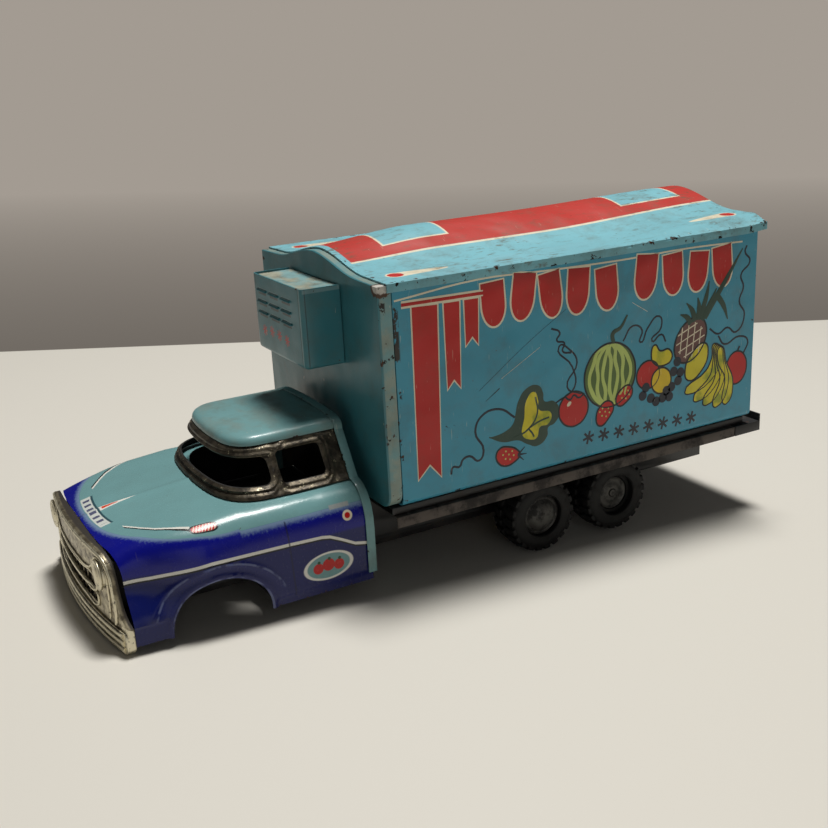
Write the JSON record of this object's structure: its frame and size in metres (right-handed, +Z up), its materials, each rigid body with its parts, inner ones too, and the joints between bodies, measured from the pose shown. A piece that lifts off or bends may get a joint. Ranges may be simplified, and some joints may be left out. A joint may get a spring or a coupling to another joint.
{
  "type": "push along delivery truck",
  "caption": "Pressed tin push-along delivery truck with box body, roof cooler unit on its front, hinged rear door, spinning wheels and friction motor",
  "frame": {"origin": "centre of the overall box at floor level, as the truck stands nose-down without its front wheels", "axes": "+Z up, front of the truck faces -Y, +X is the truck's own left side"},
  "size_m": [0.0882, 0.2396, 0.1139],
  "materials": {
    "box_teal": "glossy tin print, chipped at the folds",
    "roof_blue": "semi-gloss tin print, grimy and worn",
    "cab_teal": "glossy lithographed tin",
    "cab_navy": "glossy lithographed tin",
    "window_tin": "stamped tin, tarnished",
    "plated": "dull plating, pitted",
    "black_tin": "satin black",
    "bed_edge": "worn brown-grey",
    "tyre_rubber": "matte",
    "hub_metal": "dull pressed steel",
    "steel": "plain steel",
    "gear_brass": "satin"
  },
  "bodies": {
    "root": {"box_front_panel": "box_teal", "box_left_wall": "box_teal", "box_right_wall": "box_teal", "box_roof": "roof_blue", "box_rear_panel": "box_teal", "door_hinge_pin": "steel", "cooler_case": "box_teal", "cooler_lid": "roof_blue", "box_floor": "black_tin", "bed_sheet": "bed_edge", "rear_sill": "black_tin", "chassis": "black_tin", "cab_body": "cab_navy", "window_frame": "window_tin", "cab_roof": "cab_teal", "cab_back_panel": "cab_teal", "grille_and_bumper": "plated", "motor_bracket": "steel"},
    "middle_wheels": {"middle_axle": "steel", "middle_left_tyre": "tyre_rubber", "middle_right_tyre": "tyre_rubber", "middle_left_wheel": "hub_metal", "middle_right_wheel": "hub_metal", "middle_left_bush": "steel", "middle_right_bush": "steel", "left_hubcap": "hub_metal", "right_hubcap": "hub_metal", "drive_gear": "gear_brass"},
    "rear_wheels": {"rear_axle": "steel", "rear_left_tyre": "tyre_rubber", "rear_right_tyre": "tyre_rubber", "rear_left_wheel": "hub_metal", "rear_right_wheel": "hub_metal", "rear_left_bush": "steel", "rear_right_bush": "steel"},
    "door": {"rear_door": "box_teal"},
    "flywheel_body": {"flywheel_shaft": "steel", "flywheel": "steel", "flywheel_pinion": "gear_brass"},
    "idler_body": {"idler_shaft": "steel", "idler_pinion": "gear_brass", "idler_gear": "gear_brass"}
  },
  "joints": [
    {"name": "middle_axle_spin", "type": "hinge", "parent": "root", "child": "middle_wheels", "pos_m": [0, 0.02614, 0.013], "axis": [1, 0, 0], "continuous": true},
    {"name": "rear_axle_spin", "type": "hinge", "parent": "root", "child": "rear_wheels", "pos_m": [0, 0.05711, 0.01443], "axis": [1, 0, 0], "continuous": true},
    {"name": "idler_spin", "type": "hinge", "parent": "root", "child": "idler_body", "pos_m": [0, 0.01255, 0.01237], "axis": [1, 0, 0], "continuous": true},
    {"name": "flywheel_spin", "type": "hinge", "parent": "root", "child": "flywheel_body", "pos_m": [0, -0.00023, 0.01179], "axis": [1, 0, 0], "continuous": true},
    {"name": "rear_door_hinge", "type": "hinge", "parent": "root", "child": "door", "pos_m": [-0.0305, 0.11415, 0.06911], "axis": [0, -0.046, 0.9989], "range_deg": [0, 170]}
  ],
  "couplings": [
    {"joint": "idler_spin", "follows": "flywheel_spin", "ratio": -0.45455},
    {"joint": "middle_axle_spin", "follows": "flywheel_spin", "ratio": 0.18939}
  ]
}
